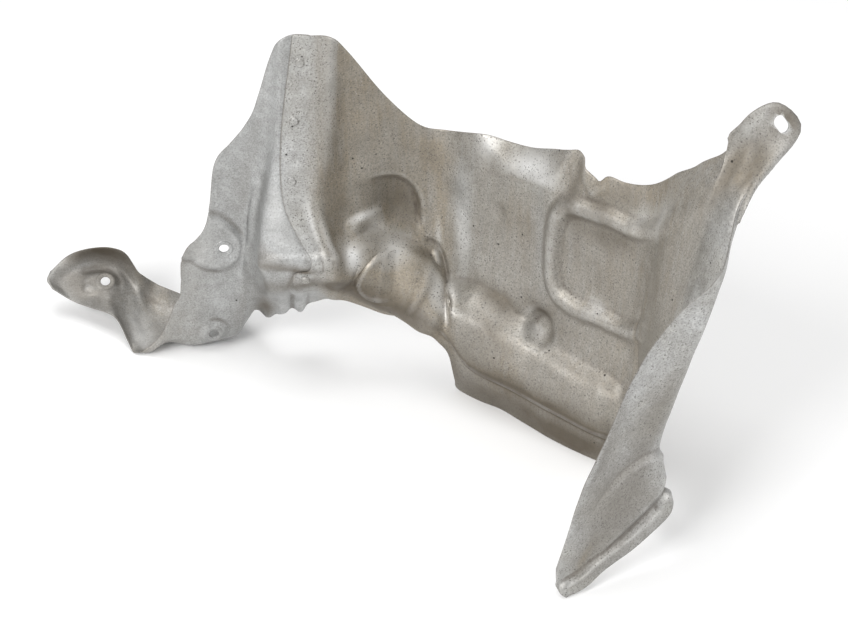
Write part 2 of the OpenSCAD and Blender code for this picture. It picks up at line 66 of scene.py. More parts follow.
# %% Ribs, in millimetres
MM = 0.001
RIBS = [
    # 0 lobe tip
    [(-251, 158, 27), (-253, 152, 24), (-249, 146, 21)],
    # 1
    [(-240, 163, 36), (-243, 157, 24), (-242, 150, 19), (-236, 142, 15)],
    # 2
    [(-225, 158, 46), (-226, 163, 31), (-227, 150, 22), (-227, 142, 16), (-223, 135, 14)],
    # 3 lobe, at its hole
    [(-208, 157, 47), (-209, 162, 31), (-211, 150, 22), (-211, 138, 17), (-206, 124, 14)],
    # 4 lobe root
    [(-195, 157, 40), (-197, 158, 20), (-199, 142, 11), (-199, 124, 6), (-196, 110, 4)],
    # 5 lobe root, front corner
    [(-185, 158, 21), (-187, 153, 10), (-188, 144, 6), (-189, 132, 3),
     (-189, 121, 2), (-190, 112, 1), (-190, 106, 1), (-190, 102, 1)],
    # 6 gutter
    [(-173, 155, 15), (-174, 149, 5), (-176, 136, 1), (-177, 122, 1),
     (-178, 110, 1), (-178, 102, 3), (-178, 100, 7), (-178, 100, 14)],
    # 7
    [(-155, 153, 9), (-156, 146, 2), (-157, 130, 0), (-156, 109, 2),
     (-155, 103, 16), (-154, 102, 36), (-153, 101, 60), (-152, 100, 86)],
    # 8
    [(-137, 148, 11), (-138, 140, 3), (-138, 126, 1), (-137, 110, 5),
     (-136, 105, 28), (-134, 105, 62), (-133, 104, 102), (-132, 103, 146)],
    # 9
    [(-122, 138, 16), (-122, 130, 10), (-122, 120, 8), (-122, 110, 13),
     (-121, 105, 42), (-118, 105, 80), (-115, 103, 122), (-111, 101, 173)],
    # 10 valley beside the tower
    [(-110, 124, 20), (-111, 118, 24), (-111, 111, 30), (-113, 102, 46),
     (-114, 101, 72), (-110, 100, 110), (-104, 98, 152), (-101, 94, 198)],
    # 11 left bend of the tower
    [(-103, 112, 22), (-102, 106, 34), (-104, 99, 46), (-104, 90, 60),
     (-106, 91, 86), (-104, 95, 119), (-96, 92, 172), (-92, 92, 228)],
    # 12 tower, left face
    [(-95, 108, 28), (-95, 101, 38), (-96, 93, 50), (-97, 74, 70),
     (-101, 73, 95), (-98, 82, 129), (-90, 85, 178), (-86, 88, 240)],
    # 13 seam
    [(-83, 108, 31), (-82, 101, 42), (-80, 92, 54), (-80, 71, 75),
     (-71, 67, 95), (-86, 78, 130), (-87, 84, 175), (-78, 88, 244)],
    # 14 clinched strip, middle
    [(-71, 108, 36), (-70, 101, 45), (-69, 93, 54), (-69, 73, 76),
     (-63, 67, 96), (-73, 77, 130), (-74, 83, 176), (-68, 87, 244)],
    # 15 right bend of the tower
    [(-60, 107, 38), (-60, 99, 46), (-59, 91, 52), (-57, 76, 72),
     (-57, 69, 94), (-65, 78, 130), (-60, 86, 175), (-56, 89, 242)],
    # 16
    [(-49, 92, 50), (-49, 86, 64), (-47, 84, 92), (-48, 90, 124), (-48, 94, 168), (-46, 96, 228)],
    # 17 back wall, at the pocket
    [(-28, 88, 43), (-27, 80, 58), (-25, 95, 94), (-24, 99, 126), (-24, 101, 162), (-24, 103, 194)],
    # 18
    [(-8, 80, 42), (-6, 72, 59), (-3, 99, 91), (-3, 103, 122), (-2, 105, 150), (-3, 106, 172)],
    # 19
    [(9, 62, 32), (13, 59, 48), (15, 90, 72), (15, 100, 117), (14, 102, 145), (14, 104, 169)],
    # 20
    [(20, 60, 3), (29, 45, 33), (36, 70, 73), (36, 80, 107), (37, 82, 143), (37, 84, 178)],
    # 21
    [(50, 37, 0), (57, 26, 28), (61, 47, 66), (61, 58, 107), (60, 60, 149), (59, 62, 187)],
    # 22
    [(76, 11, 0), (82, 6, 25), (85, 23, 58), (84, 35, 108), (82, 37, 150), (80, 39, 197)],
    # 23
    [(102, -10, 0), (106, -12, 23), (108, 3, 55), (108, 14, 103), (106, 16, 145), (103, 18, 190)],
    # 24 corner between the walls
    [(119, -24, 2), (123, -17, 22), (127, -15, 53), (127, -8, 107), (128, -6, 153), (131, -4, 196)],
    # 25 right wall
    [(126, -46, 18), (127, -45, 48), (131, -43, 92), (135, -42, 138), (140, -39, 184), (150, -39, 232)],
    # 26 right wall, foot of the ear
    [(130, -64, 26), (129, -65, 58), (134, -66, 96), (142, -64, 140), (152, -60, 201), (161, -56, 249)],
    # 27 ear, inner side
    [(131, -68, 28), (130, -70, 60), (135, -71, 97), (144, -70, 143), (157, -64, 214), (171, -56, 269)],
    # 28 ear, top
    [(132, -73, 29), (131, -75, 62), (136, -76, 98), (146, -77, 146), (162, -68, 224), (190, -49, 276)],
    # 29 ear, tip
    [(134, -78, 30), (132, -80, 64), (137, -81, 99), (148, -82, 148), (167, -73, 229), (205, -46, 259)],
    # 30 ear, outer side
    [(136, -82, 31), (133, -84, 66), (138, -86, 100), (149, -87, 150), (169, -80, 225), (192, -57, 244)],
    # 31 ear, outer root
    [(138, -86, 33), (134, -88, 68), (139, -90, 101), (150, -91, 150), (166, -88, 206), (172, -79, 232)],
    # 32 fold
    [(142, -91, 35), (135, -93, 70), (140, -95, 102), (151, -96, 146), (160, -96, 180), (164, -95, 206)],
    # 33 leg
    [(142, -94, 28), (131, -98, 65), (135, -100, 100), (144, -101, 138), (152, -101, 166), (156, -101, 192)],
    # 34
    [(133, -101, 22), (123, -103, 58), (124, -104, 92), (128, -105, 124), (132, -105, 150), (136, -104, 170)],
    # 35
    [(117, -112, 13), (109, -113, 46), (109, -113, 76), (111, -113, 100), (114, -113, 122), (118, -112, 142)],
    # 36
    [(102, -122, 8), (98, -123, 32), (96, -124, 54), (96, -124, 72), (98, -124, 86), (101, -122, 100)],
    # 37
    [(92, -130, 3), (88, -131, 18), (86, -132, 32), (85, -132, 44), (85, -132, 54), (87, -131, 64)],
    # 38 foot tip
    [(81, -135, 0), (79, -136, 2), (77, -136, 5), (76, -136, 8), (76, -135, 12), (76, -134, 18)],
]
# Middle of the whole on the floor, in the same millimetres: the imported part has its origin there
MIDDLE = np.array([-23.73, 12.90, -0.57])
print(len(RIBS), "ribs")

# %% [markdown]
# ## The skin over the ribs
#
# A Catmull-Rom spline goes through every point that it is given and stays smooth, which is what a sheet does
# over a press tool. One spline runs up each rib and one runs across the ribs, so a place on the skin has two
# numbers: the station along the shield and the row up the rib. A rib with six points has two more rows below
# its lower edge, straight on, because the skirt of the left sheet uses those rows.

# %% Splines and the plain skin
ROWS = 8


def longer(points):
    """The same points with one more at each end, straight on."""
    return np.concatenate([[2 * points[0] - points[1]], points, [2 * points[-1] - points[-2]]])


def shares(t):
    """What each of four neighbouring points gives to the spline at t between the middle two."""
    return 0.5 * np.stack([-t + 2 * t**2 - t**3, 2 - 5 * t**2 + 3 * t**3,
                           t + 4 * t**2 - 3 * t**3, -t**2 + t**3], -1)


def along(points, s):
    """The spline through the points, at the places s."""
    points, s = np.asarray(points, float), np.asarray(s, float)
    first = np.clip(np.floor(s).astype(int), 0, len(points) - 2)
    share, wide = shares(s - first), longer(points)
    return sum(share[..., k, None] * wide[first + k] for k in range(4))


def full_rib(points):
    """One rib with all its rows: 0 and 1 are the skirt, 2 to 7 the face."""
    p = np.array(points, float)
    if len(p) == ROWS - 2:
        return np.vstack([3 * p[0] - 2 * p[1], 2 * p[0] - p[1], p])
    return p if len(p) == ROWS else along(p, np.linspace(0, len(p) - 1, ROWS))


NET = longer(np.stack([longer(full_rib(rib)) for rib in RIBS]))


def skin(station, row):
    """Points of the plain skin, before any detail is pressed into it."""
    i = np.clip(np.floor(station).astype(int), 0, len(NET) - 4)
    j = np.clip(np.floor(row).astype(int), 0, ROWS - 2)
    a, b = shares(station - i), shares(row - j)
    return sum((a[..., k] * b[..., m])[..., None] * NET[i + k, j + m] for k in range(4) for m in range(4))


def unit(v):
    return v / np.maximum(np.linalg.norm(v, axis=-1, keepdims=True), 1e-9)


def square_to(surface, station, row, step=0.02):
    """Normals of a surface at these places."""
    across = surface(station + step, row) - surface(station - step, row)
    up = surface(station, row + step) - surface(station, row - step)
    return unit(np.cross(across, up))


print("top of the ear:", skin(np.array(28.0), np.array(7.0)) - MIDDLE)

# %% [markdown]
# ## Details pressed into the skin
#
# Each pocket, bulge, bead and crease of the real shield is a line in the press tool, with a width, a height
# and a flank. They could be modelled loop by loop, but the same rule makes them all: a detail lifts the skin
# along its normal by its height near its own line, and lets it down again over its flank. A short flank gives
# a flat pad with firm corners, and a flank as wide as the detail gives a round bead. Where a detail fades out,
# its height is given for each end of the line. Details that meet flow into one form, the higher one winning,
# but one that is marked "over" lies on top of the rest, as a ridge on a pad does.

# %% Details: line in stations and rows, half width, height at each end, flank, in millimetres
DETAILS = {
    "edge of the box": ([(14.7, 5), (14.9, 4.6), (14.95, 4.15)], 7, (0.5, 1.2), 7, "over"),
    "foot of the box": ([(11.9, 3.78), (12.4, 3.92), (13.7, 4.04), (14.6, 4.05)], 9, (1.4, 1.6), 9, "over"),
    "sleeve of the bulge": ([(16.5, 3.62), (17.3, 3.45), (18.2, 3.2)], 27, (4, 4), 13),
    "pipe bulge": ([(16.8, 3.6), (17.8, 3.42), (18.5, 3.25), (18.8, 3.15)], 25, (4, 2), 25, "over"),
    "lapped fold of the bulge": ([(16.96, 3.46), (17.35, 3.46)], 16.5, (2.2, 0), 1.8, "over"),
    "band round the bulge": ([(18.3, 3.75), (18.25, 3.4), (18.05, 3.0)], 4, (0.9, 0.6), 4, "over"),
    "arc over the bulge": ([(16.15, 4.55), (16.5, 4.6), (17, 4.55)], 9, (2.6, 0.8), 9, "over"),
    "lens beside the fold": ([(15.6, 3.8), (16.15, 3.95)], 24, (4.4, 4.4), 24, "over"),
    "pinched fold": ([(18.3, 4.15), (18.65, 4.25), (18.9, 4.1), (19.02, 3.85)], 3.5, (-1.6, -2), 3.5, "over"),
    "nub in the pinch": ([(18.6, 4.1), (18.68, 4.03)], 4.5, (1.5, 1.5), 4.5, "over"),
    "corner of the block": ([(19.3, 3.74), (19.55, 3.84), (19.9, 3.88)], 11, (2.4, 1.6), 11, "over"),
    "round dimple": ([(21.48, 4.08), (21.46, 4.14)], 14, (-5.5, -5.5), 10, "over"),
    "bead of the frame": ([(23.8, 6.32), (23.2, 6.42), (22.5, 6.33), (22.08, 6.12), (21.88, 5.75), (21.8, 5.3),
                           (21.8, 4.95), (21.95, 4.73), (22.38, 4.69), (22.96, 4.77), (23.8, 4.8)],
                          9, (4.8, 4.8), 8.5),
    "upper end of the bead": ([(23.8, 6.32), (24.6, 6.2)], 8, (4.6, 0), 7),
    "lower end of the bead": ([(23.8, 4.8), (24.7, 4.8)], 8, (4.6, 0), 7),
    "valley beside the facet": ([(22.45, 7), (22.25, 6.6), (22.05, 6.2)], 11, (-4.5, -1.2), 11, "over"),
    "shoulder of the frame": ([(22.62, 6.9), (22.85, 6.72)], 8, (1.8, 1.8), 8, "over"),
    "faint dent": ([(20.42, 5.58), (20.44, 5.6)], 9, (-1.2, -1.2), 9, "over"),
    "lump at the upper edge": ([(23.04, 6.83), (23.06, 6.85)], 7, (1.5, 1.5), 6, "over"),
    "hollow of the corner": ([(24.8, 7.1), (26, 7.1)], 20, (-5, -5), 17),
    "crease of the corner": ([(24.25, 5.4), (24.15, 4.9), (24.1, 4)], 3.5, (-0.4, -1.6), 3.5, "over"),
    "ridge to the ear": ([(24.3, 6.2), (25.5, 6.3), (27, 6.2)], 9, (0.8, 1), 9, "over"),
    "rim of the leg": ([(32.4, 2), (34.5, 2), (35.7, 2), (36.9, 2), (37.6, 2)], 12.5, (-3.2, -3.2), 6),
    "large boss": ([(8.05, 5.5), (7.7, 5.97), (7.42, 6.36), (7.15, 6.9)], 20.5, (2.8, 2.8), 7.5),
    "round boss": ([(7.88, 3.56), (7.89, 3.57)], 12, (2.5, 2.5), 8),
    "long boss": ([(2.3, 3.45), (2.9, 3.35)], 10, (-1.4, -1.4), 8),
    "valley round the long boss": ([(1.9, 2.33), (2.4, 2.33), (2.9, 2.5), (3.3, 2.9)], 6, (0.9, 0.9), 6, "over"),
    "ridge under the long boss": ([(2.1, 4.0), (2.5, 4.35), (3, 4.75)], 5, (-0.7, -0.3), 5, "over"),
    "left gusset": ([(12.42, 2.9), (12.35, 1.5), (12.25, 0)], 6, (0.6, 3.6), 6, "over"),
    "right gusset": ([(13.0, 2.7), (13.1, 1.3), (13.17, 0)], 6, (0.6, 3.6), 6, "over"),
    "knee of the wing": ([(8.3, 6.75), (8.65, 6.45)], 5, (0.8, 0.8), 5, "over"),
}
STEPS_OF_A_LINE = 6
SOFT = 0.12


def ease(x):
    """From 0 to 1 without a corner at either end."""
    x = np.clip(x, 0, 1)
    return x**3 * (x * (6 * x - 15) + 10)


def fold(x):
    """Flat beyond a soft crease: nothing below 0, then a straight slope."""
    x = np.maximum(x, 0)
    return np.where(x < SOFT, x**2 / (2 * SOFT), x - SOFT / 2)


def detail_line(corners):
    """A detail's line laid on the skin, in short straight steps."""
    places = along(corners, np.linspace(0, len(corners) - 1, (len(corners) - 1) * STEPS_OF_A_LINE + 1))
    return skin(places[:, 0], places[:, 1])


def off_line(points, line):
    """How far points lie from a line, and how far along it their nearest place is, from 0 to 1."""
    nearest, share = np.full(points.shape[:-1], 1e9), np.zeros(points.shape[:-1])
    for k in range(len(line) - 1):
        step = line[k + 1] - line[k]
        t = np.clip((points - line[k]) @ step / (step @ step + 1e-9), 0, 1)
        distance = np.linalg.norm(points - line[k] - t[..., None] * step, axis=-1)
        closer = distance < nearest
        nearest = np.where(closer, distance, nearest)
        share = np.where(closer, (k + t) / (len(line) - 1), share)
    return nearest, share


def lift(points):
    """How far all the details together lift the skin at these points."""
    high, low, over = (np.zeros(points.shape[:-1]) for _ in range(3))
    for corners, half, heights, flank, *kind in DETAILS.values():
        line = detail_line(corners)
        near = np.all((points > line.min(0) - half) & (points < line.max(0) + half), axis=-1)
        if not near.any():
            continue
        distance, share = off_line(points[near], line)
        height = heights[0] + (heights[1] - heights[0]) * share
        slope = (half - distance) / flank
        amount = height * (fold(slope) if "fold" in kind else ease(slope))
        if kind:
            over[near] += amount
        else:
            high[near] = np.maximum(high[near], amount)
            low[near] = np.minimum(low[near], amount)
    return high + low + over


def pocket(station, row):
    """The arched pocket beside the tower: deepest under its arch, fading to the left and downwards."""
    right, up = np.maximum(station - 17.2, 0) / 0.95, np.maximum(row - 4.6, 0) / 0.85
    inside = 1 - (right**2.3 + up**2.3)**(1 / 2.3)
    return -7.5 * ease(inside / 0.24) * ease((station - 16.1) / 1.5) * ease((row - 4) / 0.9)


def facet(station, row):
    """At the back wall's upper edge a facet leans back, beyond a crease like a hanging rope."""
    crease = 6.28 + 0.6 * ((station - 21.15) / 1.25)**2
    return -18 * fold(row - crease) * ease(1.8 - abs(station - 21.15))


def soft_least(a, b, soft):
    """The lesser of two slopes, with the corner between them rounded."""
    return (a + b - np.sqrt((a - b)**2 + soft**2)) / 2


def long_rib(station, row):
    """Above the skirt the wall's foot stands out as a rounded bar, with a sharper block at its left end."""
    crest = np.interp(station, [19.2, 20.4, 21.3, 22.2, 23.8], [3.5, 3.6, 3.76, 3.81, 3.9])
    height = np.interp(station, [20.4, 21.3, 24.2, 24.7], [13, 8, 8, 0]) * ease((station - 18.8) / 0.55)
    wide = np.interp(station, [20.5, 21.3], [0.52, 0.26])
    soft = np.interp(station, [20.3, 21.2], [0.35, 0.7])
    rise = soft_least((row - 2.98) / (crest - 2.98), (crest + wide - row) / wide, soft)
    return height * np.maximum(soft_least(rise, 1 + 0 * rise, 0.05), 0)


def skirt(station, row):
    """Below the crease, the back wall's foot stands back by a small step."""
    return -3 * ease((2.97 - row) / 0.11) * ease((station - 18.7) / 0.7) * ease((24.6 - station) / 0.5)


def leg_panel(station, row):
    """The panel of the leg stands proud below a slanting step and fades to the rear."""
    below = station - 32.4 - 5.2 * (row - 3.25)
    side = ease((row - 2.3) / 0.2) * ease((4.3 - row) / 1.1)
    return -2.8 * ease(below / 1.2) * side * ease((36.8 - station) / 2.2)


def unevenness(points):
    """Sheet metal is never quite even: slow waves of a few tenths of a millimetre."""
    chance = np.random.default_rng(7)
    total = np.zeros(points.shape[:-1])
    for _ in range(14):
        heading = unit(chance.normal(size=3))
        total += 0.07 * np.sin(points @ heading / chance.uniform(2.6, 8) + chance.uniform(0, 6))
    return total


def pressed(station, row):
    """Points of the pressed face: the skin with its details, in millimetres of the ribs."""
    station, row = np.broadcast_arrays(np.asarray(station, float), np.asarray(row, float))
    plain = skin(station, row)
    height = lift(plain) + unevenness(plain)
    height += pocket(station, row) + facet(station, row) + skirt(station, row)
    height += long_rib(station, row) + leg_panel(station, row)
    return plain + height[..., None] * square_to(skin, station, row)


print(len(DETAILS), "details")

# %% [markdown]
# ## Free edges
#
# The blanks were cut before they were pressed, so each free edge is one smooth line over the form. It is given
# as a place, station and row, for each column of the sheet: the upper edge and the lower one. A spline runs
# through them too. The columns are then spread so that they lie about a pitch apart on the metal.

# %% Edges in stations and rows
LEFT_UPPER = [(0, 7), (0.7, 7), (1.4, 7), (2.1, 7), (2.8, 7), (3.5, 7), (4, 7), (4.5, 7), (5, 7), (5.3, 7),
              (5.6, 7), (6, 6.3), (6.28, 5.75), (6.48, 5.8), (6.64, 5.95), (6.8, 5.85), (6.84, 6.1),
              (6.85, 6.6), (6.88, 7), (7.05, 6.9), (7.3, 6.55), (7.6, 6.3), (7.85, 6.4), (8.05, 6.9),
              (8.5, 6.95), (9, 7), (10, 7), (11, 7), (11.6, 7), (12, 7), (12.4, 7), (12.8, 7), (13.2, 7),
              (13.6, 7), (14, 7)]
LEFT_LOWER = [(0, 0), (0.7, 0), (1.4, 0), (2.1, 0), (2.8, 0), (3.4, 0), (3.7, 0.15), (4, 0.45), (4.3, 0.5),
              (4.7, 0.2), (5.1, 0.02), (5.7, 0), (6.1, 0), (6.4, 0), (6.6, 0), (6.76, 0), (6.8, 0), (6.83, 0),
              (6.87, 0), (7.05, 0), (7.3, 0), (7.6, 0), (7.85, 0), (8.05, 0), (8.5, 0), (9, 0), (10, 0),
              (11, 0), (11.8, 0.15),
              (12.25, 0.55), (12.8, 0.4), (13.15, 0.2), (13.55, 0.25), (14.1, 0.3), (14.8, 0.45)]
MAIN_UPPER = [(13, 7), (13.3, 7), (14.1, 7), (14.4, 7), (14.75, 7), (15.2, 7), (16, 7), (17, 7), (18, 7),
              (18.6, 7), (19.1, 7), (19.4, 7),
              (19.6, 7), (19.8, 7), (20, 6.97), (20.5, 6.84), (21.1, 6.78), (21.9, 6.86),
              (22.4, 7.02), (22.7, 6.96), (23, 6.9), (23.2, 7.02), (23.5, 7), (24, 7), (25, 7), (26, 7),
              (26.5, 6.86), (26.8, 6.92), (27.2, 7), (28, 7), (29, 7), (30, 7), (31, 7), (32, 7), (33, 7),
              (34, 7), (35, 7), (36, 7), (37, 7), (38, 7)]
MAIN_LOWER = [(13, 2.72), (13.3, 2.5), (14.2, 2.52), (14.45, 2.3), (14.75, 2), (15.2, 2), (16, 2), (17, 2),
              (18, 2.15), (18.62, 2.55), (19.12, 2.35), (19.4, 2.3), (19.62, 2.22), (19.88, 2.06), (20, 1.93),
              (20.3, 1.96)] + [
                  (station, 2) for station, row in MAIN_UPPER[16:]]


def spread(upper, lower, pitch):
    """Places along the edges, about a pitch apart on the metal, counted in the edges' own corners."""
    fine = np.linspace(0, len(upper) - 1, 40 * len(upper))
    top, low = along(upper, fine), along(lower, fine)
    lines = [skin(*(low + (top - low) * share).T) for share in (0.15, 0.5, 0.85)]
    steps = np.max([np.linalg.norm(np.diff(line, axis=0), axis=1) for line in lines], axis=0)
    run = np.concatenate([[0], np.cumsum(steps)])
    return np.interp(np.linspace(0, run[-1], int(run[-1] / pitch) + 1), run, fine)


def window(upper, lower, pitch, rows):
    """Stations and rows of a sheet's grid between its two free edges."""
    s = spread(upper, lower, pitch)
    top, low = along(upper, s), along(lower, s)
    share = np.linspace(0, 1, rows)[None, :, None]
    places = low[:, None] + (top - low)[:, None] * share
    return places[..., 0], places[..., 1]


left_places = window(LEFT_UPPER, LEFT_LOWER, 1.25, 150)
main_places = window(MAIN_UPPER, MAIN_LOWER, 1.75, 115)
print("grid of the left sheet:", left_places[0].shape, "and of the main sheet:", main_places[0].shape)

# %% [markdown]
# ## Where the metal is stained, and where shade and highlights are painted
#
# The shield has hung over a hot pipe, and road dirt has burned in where the tower meets the back wall, in the
# corner of the two walls and in the gutter. The wing, the ear and the leg have stayed grey. Soot and painted
# shade darken the skirt, the lobe's flap, the pocket, the underside of the bulge and the fold of the ear;
# painted highlights lighten the lens and the arc of the bulge, the facet and a few flanks. Each place on the
# skin gets a number from 0 to 1 for stain, and one for soot and painted light, below zero where it paints a
# highlight, which the finish later breaks up with noise.

# %% Stain along the stations, and its patches
STAIN = [0.2, 0.15, 0.2, 0.25, 0.4, 0.5, 0.5, 0.25, 0.05, 0, 0.05, 0.05, 0.02, 0.02, 0.15, 0.8, 1, 1, 0.9,
         0.7, 0.5, 0.55, 0.6, 0.68, 0.75, 0.75, 0.65, 0.32, 0.08, 0.08, 0.1, 0.08, 0.04, 0.03, 0.03, 0.03, 0.05, 0.05,
         0.05]
STAIN_PATCHES = [(13.6, 3.4, 0.9, 0.3, 0.25), (15.3, 5.5, 0.5, 3, 0.3), (17.4, 4.8, 0.7, 0.6, 0.3),
                 (17.5, 3.4, 1.4, 0.7, 0.3), (20.7, 3, 0.4, 0.6, 0.4), (28.6, 6.33, 1.5, 0.3, 1.1),
                 (36.6, 2.9, 0.5, 0.25, 0.9), (4, 0.6, 1.5, 0.8, 0.2), (23.5, 6.9, 1, 0.4, 0.35),
                 (19.5, 5.3, 0.25, 1.1, -0.7), (21.5, 5.6, 0.2, 1, -0.4), (21.8, 2.98, 2.8, 0.1, 1.2),
                 (17.2, 2.8, 1.8, 0.5, 0.8), (15.4, 3, 0.5, 0.6, 0.6), (15.2, 6.8, 0.4, 0.9, -0.6),
                 (18.5, 6.3, 0.7, 0.5, 0.5), (20.9, 5.6, 0.5, 0.4, 0.3), (18.8, 5, 0.2, 1.5, 0.3)]
# Soot patches: soot, and painted shade where the sheet lies in shade; an amount below zero paints a highlight instead.
SOOT_AND_PAINTED_LIGHT_PATCHES = [(1.9, 3.2, 2, 5, 1.1), (3, 0.2, 1.6, 0.75, 1.2), (2.9, 1.3, 0.8, 0.7, 0.4), (1.9, 1.8, 0.5, 0.5, -0.7),
                (5.1, 4, 1, 1.6, -1), (5.6, 0.5, 1, 1.2, 0.4), (7.4, 5.9, 0.5, 0.5, -0.4),
                (9.1, 6.1, 0.5, 0.6, 0.4), (9.3, 3.5, 0.8, 0.8, 0.45), (10.8, 1.3, 1, 1.3, 1.4),
                (12, 4, 0.5, 0.3, 0.8), (12.6, 4.9, 0.5, 0.4, -0.7), (14.1, 4.8, 0.35, 0.35, -1.4),
                (12.5, 4.3, 0.35, 0.2, -0.5), (11.7, 3.2, 0.3, 0.3, 0.5), (13.4, 3.05, 2, 0.35, 1.2), (12.8, 3.8, 1.2, 0.12, 0.9),
                (14.9, 3.12, 0.3, 0.3, 2.7), (15.8, 3.05, 1, 0.35, 1.4), (15.2, 3.2, 0.4, 0.2, 0.8), (16.3, 3.3, 0.8, 0.2, 1.1),
                (17.3, 2.85, 1.2, 0.4, 1.4), (18.2, 3.05, 0.4, 0.3, 0.6), (15.1, 6.6, 0.3, 0.8, -0.5),
                (15, 4.4, 0.16, 0.4, -1.7), (16.4, 4.68, 0.35, 0.08, -2), (16.7, 4.4, 0.4, 0.3, -1),
                (15.75, 3.96, 0.42, 0.3, -2.4), (17.2, 3.85, 0.5, 0.3, -1.4), (18.7, 4.4, 0.12, 0.3, -0.8),
                (18.55, 3.42, 0.3, 0.35, -1.8), (17.55, 4.7, 0.6, 0.45, 1.15), (18.4, 6.2, 0.6, 0.4, 0.35),
                (19.5, 4.9, 0.22, 1.1, -0.8), (21.8, 3.03, 2.7, 0.2, 1.1), (21.8, 2.96, 2.7, 0.07, 2), (21.7, 2.3, 3.2, 0.55, 1.75), (22.1, 3.55, 1.3, 0.2, 0.3),
                (22.4, 3.25, 1.5, 0.22, 0.6), (19.9, 3.3, 0.5, 0.25, 0.5), (20.5, 3.6, 0.5, 0.2, 0.9),
                (20.5, 4.06, 0.6, 0.18, 1.7), (19.3, 3.82, 0.25, 0.12, -1.4), (18.95, 3.25, 0.2, 0.2, -0.8), (21.8, 4.3, 0.7, 0.3, 0.6),
                (22.2, 5.2, 2.4, 0.9, 0.35), (22.9, 4.9, 0.3, 0.12, -1), (22.8, 3.88, 1.2, 0.1, 0.5), (23.35, 4.02, 0.4, 0.2, 0.6),
                (23.3, 2.6, 0.6, 0.5, 0.7), (24.5, 6.4, 0.3, 0.3, -0.9), (20.05, 6.75, 0.22, 0.25, -1), (20.5, 6.75, 0.12, 0.12, 0.4),
                (21.3, 6.5, 0.5, 0.22, -3), (21.15, 6.28, 0.8, 0.05, 0.7), (22.35, 6.3, 0.25, 0.5, 0.9),
                (23.05, 6.5, 0.3, 0.14, 1), (23.2, 6.12, 0.7, 0.22, 1.3), (23.6, 6.75, 0.5, 0.2, 0.6),
                (24.15, 4.2, 0.12, 1, 0.5), (23.9, 6.5, 0.25, 0.3, -0.8), (27.2, 6.3, 0.9, 0.4, 0.7), (28.2, 6.55, 0.7, 0.4, 0.3),
                (28.6, 6.95, 1.1, 0.14, 1), (28.6, 6.33, 1.5, 0.3, 0.8), (29.2, 6.25, 0.4, 0.15, 0.6),
                (27.7, 6.5, 1.1, 0.12, 0.4), (28.45, 6.85, 0.3, 0.16, 0.7), (27.6, 6.85, 0.4, 0.1, -0.8),
                (21.46, 4.37, 0.28, 0.09, 1.1), (21.3, 3.95, 0.3, 0.16, -1.3), (21.5, 3.7, 0.4, 0.12, 0.4), (12.95, 5.6, 0.08, 1.5, 0.9),
                (12.66, 3.45, 0.06, 0.3, 0.8), (12.86, 3.73, 0.2, 0.05, 0.9), (13.6, 2.5, 0.7, 0.06, 0.8),
                (33.4, 4.3, 0.9, 0.8, 0.9), (34.5, 3, 1.5, 1, 0.9), (35.6, 6, 0.6, 2, 0.5),
                (36.3, 3.6, 1.5, 3, 0.5)]


def patches(places, station, row):
    """Soft patches: station, row, width and height in both, and the amount in the middle."""
    return sum(amount * np.exp(-((station - u) / wide)**2 - ((row - v) / high)**2)
               for u, v, wide, high, amount in places)


def stained(station, row):
    """How brown the metal is at a place: along the shield, and more in the patches."""
    return np.clip(np.interp(station, np.arange(len(STAIN)), STAIN) + patches(STAIN_PATCHES, station, row), 0, 1.2)


print("stain in the pocket:", stained(np.array(17.4), np.array(4.8)))

# %% [markdown]
# ## From the skin to a sheet with two sides
#
# The metal is 0.9 mm thick. A Solidify modifier could thicken the skin, but here the two sheets have to lie
# on each other with a tenth of a millimetre between them, so each is made from two copies of the same skin,
# set off along its normals: the left sheet behind it, the main sheet in front. A third row of points runs
# round the cut edge and draws it out to a blunt lip, as a worn cutting die leaves it.

# %% Closed sheet between two offsets
SHEET = 0.9
LAP_GAP = 0.1
BOWED_EDGE = 0.5


def border(count_u, count_v):
    """Grid indices once round the edge of the grid."""
    u, v = np.arange(count_u), np.arange(count_v)
    return np.concatenate([u * count_v, (count_u - 1) * count_v + v[1:], u[-2::-1] * count_v + count_v - 1,
                           v[-2:0:-1]])


def mark(mesh, name, values):
    """Stores one number for each point of the mesh."""
    mesh.attributes.new(name, "FLOAT", "POINT").data.foreach_set("value", values.astype(np.float32))


def hollow(points, normals, reach=2):
    """How strongly the face bends: 1 in a tight hollow, -1 on a tight ridge."""
    total = np.zeros(points.shape[:-1])
    for axis in (0, 1):
        p, n = np.moveaxis(points, axis, 0), np.moveaxis(normals, axis, 0)
        sag = ((p[2 * reach:] + p[:-2 * reach] - 2 * p[reach:-reach]) * n[reach:-reach]).sum(-1)
        span = np.linalg.norm(p[2 * reach:] - p[:-2 * reach], axis=-1) / 2
        part = np.zeros(p.shape[:-1])
        part[reach:-reach] = sag / np.maximum(span, 1)**2
        total += np.moveaxis(part, 0, axis)
    return np.clip(4 * total, -1, 1)


